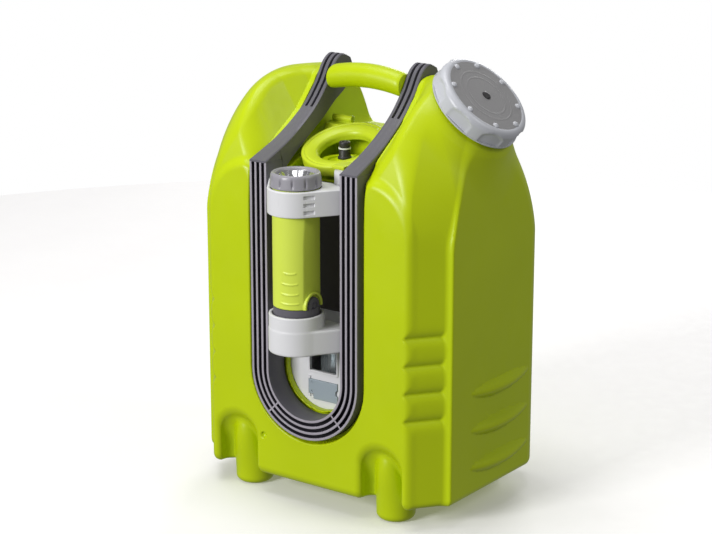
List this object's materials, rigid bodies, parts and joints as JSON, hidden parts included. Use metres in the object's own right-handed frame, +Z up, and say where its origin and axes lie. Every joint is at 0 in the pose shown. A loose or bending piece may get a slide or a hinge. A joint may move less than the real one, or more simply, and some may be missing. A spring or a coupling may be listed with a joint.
{
  "type": "portable pumped rinse tank",
  "caption": "Upright moulded water tank with tilted screw cap, carrying handle, pump module in a front bay and a spray handset in clip holders.",
  "frame": {"origin": "middle of the footprint of the whole object, on the surface it stands on", "axes": "+Z up, the handset side faces -Y, the filler cap leans towards +X"},
  "size_m": [0.3434, 0.2728, 0.4811],
  "materials": {
    "lime_plastic": "satin moulded lime green plastic with a fine grain",
    "frame_grey": "satin mid grey moulded plastic",
    "light_grey": "satin light grey moulded plastic",
    "cap_silver": "silver grey moulded plastic",
    "dark_plastic": "black moulded plastic",
    "pale_blue": "pale blue grey moulded plastic",
    "rubber": "black rubber",
    "steel": "brushed steel",
    "chrome": "bright chrome plating",
    "clear_plastic": "clear moulded plastic",
    "board_green": "circuit board laminate",
    "battery_wrap": "blue shrink wrap",
    "switch_red": "red gloss plastic"
  },
  "bodies": {
    "base": {"tank_shell": "lime_plastic", "bay_frame": "frame_grey", "carry_handle": "lime_plastic", "handle_bolt_right": "steel", "handle_bolt_left": "steel", "module_housing": "light_grey", "module_rear_cover": "light_grey", "module_top_cover": "lime_plastic", "top_cover_screw_1": "steel", "top_cover_screw_2": "steel", "top_cover_screw_3": "steel", "top_cover_screw_4": "steel", "dc_socket": "dark_plastic", "switch_case": "dark_plastic", "flap_pin": "steel", "battery_pack": "battery_wrap", "circuit_board": "board_green", "strainer_head": "dark_plastic", "strainer_bowl": "clear_plastic", "strainer_mesh": "steel", "suction_tube": "clear_plastic", "suction_foot": "dark_plastic", "inlet_tube": "clear_plastic", "pump_head": "dark_plastic", "pump_diaphragm": "rubber", "pump_crankcase": "dark_plastic", "motor_can": "steel", "pressure_switch": "dark_plastic", "outlet_tube": "rubber", "outlet_nipple": "dark_plastic", "nipple_o_ring": "light_grey", "lid_hinge_pin_right": "steel", "lid_hinge_pin_left": "steel", "upper_clip": "light_grey", "lower_cup": "light_grey", "lid_catch": "light_grey", "clip_screw_right": "steel", "clip_screw_left": "steel", "cup_screw_right": "steel", "cup_screw_left": "steel"},
    "cap_carrier": {"cap_gasket": "rubber"},
    "cap": {"filler_cap": "cap_silver", "cap_vent_valve": "dark_plastic"},
    "lid": {"bay_lid": "lime_plastic"},
    "flap": {"socket_flap": "pale_blue"},
    "rocker": {"power_rocker": "switch_red"},
    "rotor": {"motor_shaft": "steel"},
    "handset": {"handset_barrel": "lime_plastic", "handset_base": "frame_grey", "handset_water_tube": "dark_plastic", "nozzle_insert": "dark_plastic"},
    "nozzle": {"nozzle_collar": "frame_grey", "nozzle_dish": "chrome"},
    "knob": {"flow_knob": "frame_grey", "valve_stem": "steel"}
  },
  "joints": [
    {"name": "cap_rise", "type": "slide", "parent": "base", "child": "cap_carrier", "axis": [0.6865, 0, 0.7272], "range_m": [0, 0.018]},
    {"name": "cap_turn", "type": "hinge", "parent": "cap_carrier", "child": "cap", "pos_m": [0.13608, 0.0234, 0.4476], "axis": [0.6865, 0, 0.7272], "range_deg": [0, 1080]},
    {"name": "lid_hinge", "type": "hinge", "parent": "base", "child": "lid", "pos_m": [-0.01132, 0.0314, 0.393], "axis": [-1, 0, 0], "range_deg": [0, 55]},
    {"name": "handset_lift", "type": "slide", "parent": "base", "child": "handset", "axis": [0, 0, 1], "range_m": [0, 0.19]},
    {"name": "nozzle_turn", "type": "hinge", "parent": "handset", "child": "nozzle", "pos_m": [-0.01132, -0.1066, 0.36], "axis": [0, 0, 1], "range_deg": [0, 90]},
    {"name": "flow_knob_turn", "type": "hinge", "parent": "handset", "child": "knob", "pos_m": [0.01248, -0.1066, 0.232], "axis": [1, 0, 0], "range_deg": [0, 90]},
    {"name": "flap_hinge", "type": "hinge", "parent": "base", "child": "flap", "pos_m": [-0.03122, -0.0594, 0.121], "axis": [0, 0, -1], "range_deg": [0, 105]},
    {"name": "power_switch", "type": "hinge", "parent": "base", "child": "rocker", "pos_m": [-0.00482, -0.0491, 0.121], "axis": [1, 0, 0], "range_deg": [0, 12]},
    {"name": "motor_spin", "type": "hinge", "parent": "base", "child": "rotor", "pos_m": [-0.01132, -0.0166, 0.292], "axis": [0, 1, 0], "continuous": true}
  ],
  "couplings": [
    {"joint": "cap_rise", "follows": "cap_turn", "m_per_rad": 0.00095493}
  ]
}
